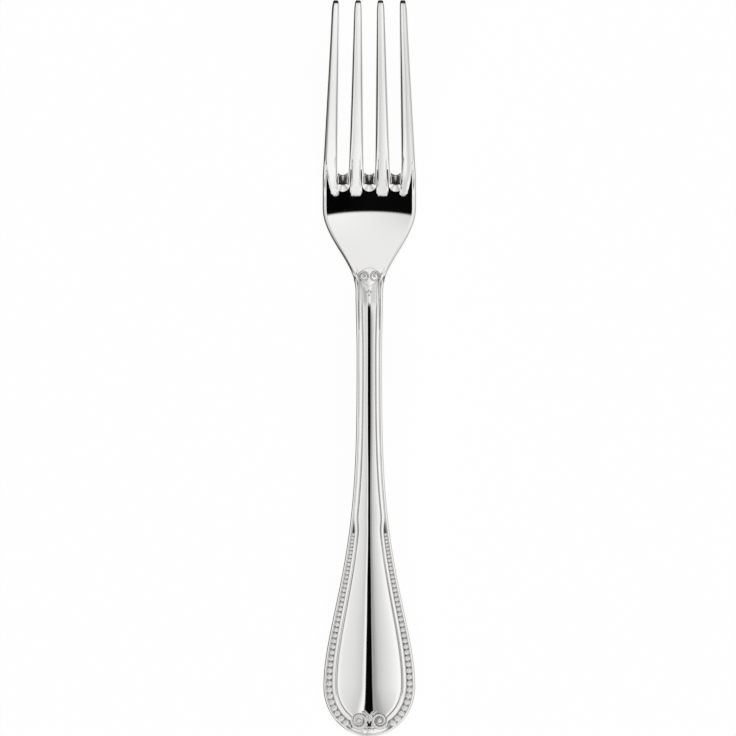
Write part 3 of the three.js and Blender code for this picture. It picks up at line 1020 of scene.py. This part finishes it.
# %% Silver and nickel silver
cloud_scale, cloud_tint, cloud_gloss = 90, 0.12, 0.03
cloud_middle, cloud_clean = 0.5, 0.4
line_scale = (2600, 90, 2600)
line_depth = 0.00001
tarnish_and_shade_tint, recess_gloss = 0.8, 0.12
silver, silver_tarnish_and_shade = (0.95, 0.945, 0.93), (0.16, 0.15, 0.135)
nickel, nickel_tarnish = (0.72, 0.69, 0.62), (0.4, 0.37, 0.32)


def metal(name, tint, tarnish, gloss, hairlines):
    """A polished metal: tint and tarnish are colours, and tarnish is also the colour of painted shade;
    gloss is the roughness of its clean places.
    """
    material = bpy.data.materials.new(name)
    material.use_nodes = True
    tree = Tree(material.node_tree)
    tree.nodes.clear()
    place = tree.add("ShaderNodeTexCoord")["Object"]
    recess = tree.add("ShaderNodeAttribute", dict(attribute_name="recess"))["Fac"]
    drawn = tree.add("ShaderNodeMapping", sockets={"Vector": place, "Scale": line_scale})["Vector"]
    clouds = {"Vector": place, "Scale": cloud_scale, "Detail": 3}
    cloud = tree.add("ShaderNodeTexNoise", sockets=clouds)["Fac"]
    lines = {"Vector": drawn, "Scale": 1, "Detail": 2}
    line = tree.add("ShaderNodeTexNoise", sockets=lines)["Fac"]
    # The point attribute mixes the colour towards tarnish: real tarnish in hollows and painted shade
    dull = (recess * tarnish_and_shade_tint + (cloud - cloud_middle) * cloud_tint).clamped()
    colour = tree.add(
        "ShaderNodeMix", dict(data_type="RGBA"), {0: dull, 6: (*tint, 1), 7: (*tarnish, 1)},
    )[2]
    roughness = gloss + (cloud - cloud_clean) * cloud_gloss + recess * recess_gloss
    scratches = {"Strength": hairlines, "Distance": line_depth, "Height": line}
    bump = tree.add("ShaderNodeBump", sockets=scratches)
    shader = tree.add("ShaderNodeBsdfPrincipled", sockets={
        "Base Color": colour, "Metallic": 1.0, "Roughness": roughness, "Normal": bump["Normal"],
    })
    tree.add("ShaderNodeOutputMaterial", sockets={"Surface": shader["BSDF"]})
    return material


polished_silver = metal("polished_silver", silver, silver_tarnish_and_shade, gloss=0.035, hairlines=0.15)
struck_silver = metal("struck_silver", silver, silver_tarnish_and_shade, gloss=0.48, hairlines=0.1)
worn_nickel = metal("worn_nickel_silver", nickel, nickel_tarnish, gloss=0.28, hairlines=0.5)
fork_body.data.materials.clear()
fork_body.data.materials.append(polished_silver)
print("finishes:", polished_silver.name, struck_silver.name, worn_nickel.name)

# %% [markdown]
# ## Beads and eyes
# The border's beads are struck domes that grow towards the end of the handle, and the scrolls have an
# eye of the same kind. A tree puts one squat ball on every point of a bare mesh. Each point carries its
# own diameter and rise, so one tree makes them all.

# %% The bead tree
foot_top, foot_shade = 0.16, 0.4
beading = GeometryTree("beads", {"Segments": "Int", "Rings": "Int", "Metal": "Material"})
ball = beading.add("GeometryNodeMeshUVSphere", sockets={
    "Segments": beading.input["Segments"], "Rings": beading.input["Rings"], "Radius": 0.5,
})
ball_place = beading.add("ShaderNodeSeparateXYZ", sockets={0: beading.add("GeometryNodeInputPosition")[0]})
# Each ball's foot, where it meets the channel, gets tarnish and painted shade
ball = beading.shaded(ball["Mesh"], (1 - ball_place["Z"].step(0.0, foot_top)) * foot_shade)
bead_size, bead_rise = beading.attribute("bead_size"), beading.attribute("bead_rise")
bead_scale = beading.add(
    "ShaderNodeCombineXYZ", sockets={"X": bead_size, "Y": bead_size, "Z": bead_rise * 2},
)
beads = beading.add("GeometryNodeInstanceOnPoints", sockets={
    "Points": beading.input[0], "Instance": ball, "Scale": bead_scale[0],
})
beading.finish_in_metal(beads[0])
print("bead tree:", len(beading.nodes), "nodes")


def bead_piece(name, rows, segments, rings):
    """A piece of beads from rows of (x, d, h of the foot, diameter, rise)."""
    mesh = bpy.data.meshes.new(name)
    mesh.from_pydata([flat_point(row) for row in rows], [], [])
    for label, column in (("bead_size", 3), ("bead_rise", 4)):
        values = mesh.attributes.new(label, "FLOAT", "POINT")
        values.data.foreach_set("value", [row[column] * MM for row in rows])
    piece = put_in_scene(name, mesh)
    beading.put_on(piece, {"Segments": segments, "Rings": rings, "Metal": struck_silver})
    bend(piece).data.transform(bed)
    print(name, len(rows), "beads,", len(piece.data.polygons), "faces")
    return piece


# %% The bead border
bead_rise_share = 0.3


def border_place(run):
    """Middle of the bead channel at a run along the border, on the right side."""
    if run < straight_run:
        station = straight_station(bead_top + run)
    else:
        station = end_station((run - straight_run) / end_run_per_radian)
    inset = rim_width + channel_at(run) / 2
    return station["x"] + station["in_x"] * inset, station["d"] + station["in_d"] * inset


border_rows = []
run = bead_small / 2
while run < bead_run:
    size = bead_size_at(run)
    x, d = border_place(run)
    for hand in (1, -1):
        floor = roof_height(x, d) * (run > straight_run) - relief_depth
        border_rows.append((hand * x, d, floor, size, size * bead_rise_share))
    run += size
bead_border = bead_piece("bead_border", border_rows, segments=20, rings=12)

# %% [markdown]
# ## Scrolls
# At the end of the handle the rim's rolled thread curls in to two scrolls, and two smaller ones close
# the threads at the neck. Each is a wire along a spiral that thins towards its eye. The path is a
# formula; a tree turns it to a curve, gives it the radii that its points carry and sweeps a circle.

# %% The rolled wire tree
# Painted shade on each wire's sides, darker the more they face sideways
shade_from, shade_to = 0.1, 0.8
rolling = GeometryTree("rolled_wire", {"Sides": "Int", "Metal": "Material"})
wire_curve = rolling.add("GeometryNodeMeshToCurve", sockets={"Mesh": rolling.input[0]})
wire_radius = rolling.attribute("wire_radius")
wire_round = rolling.add("GeometryNodeCurvePrimitiveCircle", sockets={
    "Resolution": rolling.input["Sides"], "Radius": 1.0,
})
wire = rolling.add("GeometryNodeCurveToMesh", sockets={
    "Curve": wire_curve[0], "Profile Curve": wire_round["Curve"], "Scale": wire_radius, "Fill Caps": True,
})
facing = rolling.add("ShaderNodeSeparateXYZ", sockets={0: rolling.add("GeometryNodeInputNormal")[0]})
rolling.finish_in_metal(rolling.shaded(wire[0], 1 - facing["Z"].step(shade_from, shade_to)))
print("rolled wire tree:", len(rolling.nodes), "nodes")


def wire_piece(name, paths, sides=10):
    """A piece of rolled wires, each path a list of (x, d, h, radius)."""
    points, edges, radii = [], [], []
    for path in paths:
        edges += [(len(points) + i, len(points) + i + 1) for i in range(len(path) - 1)]
        points += [flat_point(point) for point in path]
        radii += [point[3] * MM for point in path]
    mesh = bpy.data.meshes.new(name)
    mesh.from_pydata(points, edges, [])
    mesh.attributes.new("wire_radius", "FLOAT", "POINT").data.foreach_set("value", radii)
    piece = put_in_scene(name, mesh)
    rolling.put_on(piece, {"Sides": sides, "Metal": struck_silver})
    bend(piece).data.transform(bed)
    print(name, len(paths), "wires,", len(piece.data.polygons), "faces")
    return piece


# %% Paths of the wires
coil_power = 1.5
thin_share = 0.12


def spiral(x, d, outer, inner, start, turns, steps=56):
    """Places along a right-hand scroll from its first angle; turns is negative where it runs clockwise."""
    shares = np.linspace(0, 1, steps)
    angles = np.radians(start) + turns * shares * 2 * math.pi
    radii = mix(outer, inner, shares ** coil_power)
    return list(zip(x + radii * np.cos(angles), d - radii * np.sin(angles)))


def laid(places, first, last, sink=0.3, taper=1):
    """A wire along places on the face; its radius runs from first to last, and a share of it is sunk.

    Its first few places, as many as taper says, grow from a thin point."""
    radii = np.linspace(first, last, len(places))
    radii[:taper] *= np.linspace(1, thin_share, taper)[::-1]
    return [(*on_face(x, d, radius * (1 - 2 * sink)), radius) for (x, d), radius in zip(places, radii)]


def mirrored(paths):
    return paths + [[(-x, *rest) for x, *rest in path] for path in paths]


def from_end(*places):
    """Places (x, d) from pairs of x and the distance up from the end of the handle."""
    return [(x, fork_length - up) for x, up in places]


def from_border(*places):
    """Places (x, d) from pairs of x and the distance down from the top of the border."""
    return [(x, border_top + down) for x, down in places]


print("face under an end scroll's eye:", round(on_face(end_scroll_x, end_scroll_d, 0)[2], 2), "mm high")

# %% Scrolls at the end of the handle
end_wire_inset = 0.35
end_coil_radius = end_scroll_radius - end_wire_inset
end_coil = spiral(end_scroll_x, end_scroll_d, end_coil_radius, inner=0.75, start=-35, turns=-1.3)
end_path = laid(end_coil, 0.5, 0.2, sink=0.5)
drop_path = laid(from_end((1.1, 1.7), (0.5, 2.2), (0.06, 2.65)), 0.12, 0.1)
fill_path = laid(from_end((1.7, 6.25), (1.2, 5.85), (0.75, 5.4)), 0.28, 0.3, sink=0.5)
tie_path = laid(from_end((0, 5.5), (0, 4.6), (0, 3.5)), 0.3, 0.24)
point_path = laid(from_end((1.15, 6.5), (0.6, 5.9), (0.05, 5.3)), 0.2, 0.26)
end_scrolls = wire_piece("end_scrolls", mirrored([end_path, drop_path, point_path, fill_path]) + [tie_path])

# %% Scrolls, arch and vee at the neck
neck_scroll_x, neck_scroll_d, neck_scroll_radius = 1.34, border_top - 1.45, 1.2
arch_half, arch_rise = 2.9, 3.5
lead = from_border((2.27, 11), (2.3, 7), (2.35, 4), (2.4, 2), (2.42, 0))
neck_coil = spiral(neck_scroll_x, neck_scroll_d, neck_scroll_radius, inner=0.42, start=-20, turns=1.55)
neck_path = laid(lead + neck_coil, 0.26, 0.15, taper=4)
vee_path = laid(from_border((1.7, -0.3), (0.9, 0.4), (0.1, 0.9)), 0.08, 0.06)
arch_angles = np.radians(np.linspace(18, 90, 15))
arch = from_border(*((arch_half * math.cos(angle), -arch_rise * math.sin(angle)) for angle in arch_angles))
arch_path = laid(arch, 0.05, 0.05)
neck_scrolls = wire_piece("neck_scrolls", mirrored([neck_path, vee_path, arch_path]))

# %% Eyes, trefoil and drop
eye_sink = 0.04
# Each has its x and d, its diameter and its rise; those off the middle get a mirrored twin
eyes = [
    (end_scroll_x, end_scroll_d, 1.25, 0.4),
    (0, fork_length - 4.75, 1.9, 0.22),
    (0.8, fork_length - 3.15, 0.9, 0.15),
    (neck_scroll_x, neck_scroll_d, 0.56, 0.24),
    (0.42, border_top + 2.3, 0.62, 0.24),
    (0, border_top + 1.9, 0.6, 0.24),
    (0, border_top + 3.0, 0.6, 0.28),
    (0, fork_length - 1.9, 0.7, 0.26),
]
eye_rows = []
for x, d, size, rise in eyes:
    for hand in (1, -1) if x else (1,):
        eye_rows.append((*on_face(hand * x, d, -eye_sink), size, rise))
scroll_eyes = bead_piece("scroll_eyes", eye_rows, segments=28, rings=16)

# %% [markdown]
# ## Rest flats
# A fork stands on the heel of its head and on the end of its handle. There the plate has worn through to
# the blank. The body's lowest points are levelled just above the table, and a thin slab of nickel silver
# fills each flat.

# %% Level the body and fill its two flats
plate_wear = 0.02
flat_thickness = 0.3
flat_corners = 24
body_points = points_of(fork_body)
levelled = body_points[:, 2] < plate_wear * MM
body_points[levelled, 2] = plate_wear * MM
fork_body.data.vertices.foreach_set("co", body_points.ravel())
fork_body.data.update()

slab = bmesh.new()
for in_half in (body_points[:, 1] > 0, body_points[:, 1] < 0):
    here = body_points[levelled & in_half]
    middle = (here.min(axis=0) + here.max(axis=0)) / 2
    reach = (here.max(axis=0) - here.min(axis=0)) / 2
    outline = []
    for angle in np.linspace(0, 2 * math.pi, flat_corners, endpoint=False):
        outline.append((middle[0] + reach[0] * math.cos(angle), middle[1] + reach[1] * math.sin(angle)))
    low_ring = [slab.verts.new((x, y, 0)) for x, y in outline]
    high_ring = [slab.verts.new((x, y, flat_thickness * MM)) for x, y in outline]
    slab.faces.new(low_ring[::-1])
    slab.faces.new(high_ring)
    for i in range(len(outline)):
        after = (i + 1) % len(outline)
        slab.faces.new((low_ring[i], low_ring[after], high_ring[after], high_ring[i]))
    print("rest flat about", np.round(middle / MM, 2), "half sizes", np.round(reach / MM, 2))
slab_mesh = bpy.data.meshes.new("rest_flats")
slab.to_mesh(slab_mesh)
slab.free()
slab_mesh.materials.append(worn_nickel)
rest_flats = put_in_scene("rest_flats", slab_mesh)

# %% [markdown]
# ## Table, light and camera
# The fork lies on a white table in a white tent, seen from straight above with a long lens. The tent's
# opening for the lens is dark; polished silver shows it as the black streak on the handle's ridge and
# the black band across the heel. The world paints the tent by direction, so it stays put when the
# camera goes elsewhere. A direction is given by two leans from straight up, across the fork and along it.
# The tent is darker low at its sides, most of all on the left. A thin screen hangs beside the opening, and
# the low side beyond the tine points is in gloom, which the bevels of the points show. The table glows a
# little for the camera and in reflections, and it still takes the fork's shadow.

# %% The table
table_half = 3.0
table_white = (0.93, 0.93, 0.93, 1)
glow_strength, glow_share = 1.05, 0.88
table_mesh = bpy.data.meshes.new("table")
corners = [(x * table_half, y * table_half, 0) for x, y in ((-1, -1), (1, -1), (1, 1), (-1, 1))]
table_mesh.from_pydata(corners, [], [(0, 1, 2, 3)])
table = put_in_scene("table", table_mesh)
table_finish = bpy.data.materials.new("white_table")
table_finish.use_nodes = True
finish = Tree(table_finish.node_tree)
finish.nodes.clear()
ray = finish.add("ShaderNodeLightPath")
seen = (ray["Is Camera Ray"] + ray["Is Glossy Ray"] + ray["Is Transmission Ray"]).clamped()
cover = finish.add("ShaderNodeBsdfDiffuse", sockets={"Color": table_white})
glow = finish.add("ShaderNodeEmission", sockets={"Color": (1, 1, 1, 1), "Strength": glow_strength})
both = finish.add("ShaderNodeMixShader", sockets={0: seen * glow_share, 1: cover[0], 2: glow[0]})
finish.add("ShaderNodeOutputMaterial", sockets={"Surface": both[0]})
table_mesh.materials.append(table_finish)
print("table", 2 * table_half, "m wide")

# %% The tent
gloom_depth, neck_shade_depth, opening_depth = 0.97, 0.3, 0.997
world = bpy.data.worlds.new("white_tent")
bpy.context.scene.world = world
world.use_nodes = True
tent = Tree(world.node_tree)
tent.nodes.clear()
way = tent.add("ShaderNodeSeparateXYZ", sockets={0: tent.add("ShaderNodeTexCoord")["Generated"]})
lean_x = way["X"] / (way["Z"] + 1)
lean_y = way["Y"] / (way["Z"] + 1)


def tones(lean, stops):
    """Brightness by a lean: stops are (lean, brightness) in rising order."""
    reach = stops[-1][0]
    shares = [((place + reach) / (2 * reach), (tone, tone, tone, 1)) for place, tone in stops]
    return tent.add("ShaderNodeValToRGB", dict(stops=shares), {0: (lean + reach) / (2 * reach)})["Color"]


side_tone = tones(lean_x, [
    (-1.2, 0.03), (-0.8, 0.04), (-0.68, 0.07), (-0.6, 0.22), (-0.52, 0.6), (-0.42, 0.95), (-0.3, 0.92),
    (-0.2, 0.76), (-0.155, 0.62), (-0.135, 1), (-0.11, 1), (-0.07, 0.66), (0, 0.88), (0.06, 0.97),
    (0.4, 1), (0.57, 0.76), (0.75, 0.5), (0.9, 0.3), (1.2, 0.2),
])
length_tone = tones(lean_y, [
    (-1.2, 0.5), (-0.7, 0.8), (-0.4, 1), (-0.3, 0.9), (-0.22, 1), (0.2, 1), (1.2, 0.9),
])
lean_square = lean_x * lean_x + lean_y * lean_y
lean = lean_square.maths("SQRT", lean_square)
gloom = lean_y.step(0.1, 0.32) * lean.step(0.43, 0.53) * gloom_depth
screen = tones(lean_x, [
    (-0.4, 1), (0, 1), (0.04, 0.4), (0.11, 0.4), (0.13, 0.34), (0.15, 0.44), (0.17, 0.6), (0.19, 0.7),
    (0.22, 0.82), (0.25, 0.95), (0.28, 1), (0.4, 1),
])
by_opening = (1 - lean_y.step(0, 0.06)) * lean_y.step(-0.2, -0.15)
opening = lean_x.step(-0.118, -0.102) * (1 - lean_x.step(0.088, 0.104))
opening = opening * (1 - lean_y.step(0.035, 0.064)) * lean_y.step(-0.187, -0.169)
side_lean = abs(lean_x)
neck_shade = side_lean.step(0.07, 0.12) * (1 - side_lean.step(0.24, 0.3))
neck_shade = neck_shade * lean_y.step(0.03, 0.07) * (1 - lean_y.step(0.24, 0.32)) * neck_shade_depth
bright = side_tone * length_tone
for shade in (gloom, neck_shade, by_opening * (1 - screen), opening * opening_depth):
    bright = bright * (1 - shade)
grey = tent.add("ShaderNodeCombineColor", sockets={0: bright, 1: bright, 2: bright})
air = tent.add("ShaderNodeBackground", sockets={"Color": grey[0], "Strength": 1.0})
tent.add("ShaderNodeOutputWorld", sockets={"Surface": air[0]})
print("tent:", len(tent.nodes), "nodes")

# %% The camera
image_pixels = 736
fork_pixels = 737
lens = 500.0
sensor = 36.0
camera_x, camera_y = -0.3, 0.4
# The picture's scale holds at this height above the table, about half the fork's
scale_height = 8
camera_data = bpy.data.cameras.new("camera")
camera_data.lens = lens
camera_data.sensor_width = sensor
camera = put_in_scene("camera", camera_data)
view_height = fork_length * MM * image_pixels / fork_pixels
camera.location = (camera_x * MM, camera_y * MM, view_height * lens / sensor + scale_height * MM)
bpy.context.scene.camera = camera
bpy.context.scene.view_settings.view_transform = "Standard"
print("camera", round(camera.location.z, 3), "m above the table")

# %% [markdown]
# ## Pieces on the body
# Every piece rides on the fork's one body, and the imported solids are hidden.

# %% Pieces on the body
bpy.data.objects.remove(side_curve)
for piece in (fork_body, bead_border, end_scrolls, neck_scrolls, scroll_eyes):
    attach(piece, "root")
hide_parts("silver_plate")
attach(rest_flats, "root")
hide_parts("nickel_silver_blank")
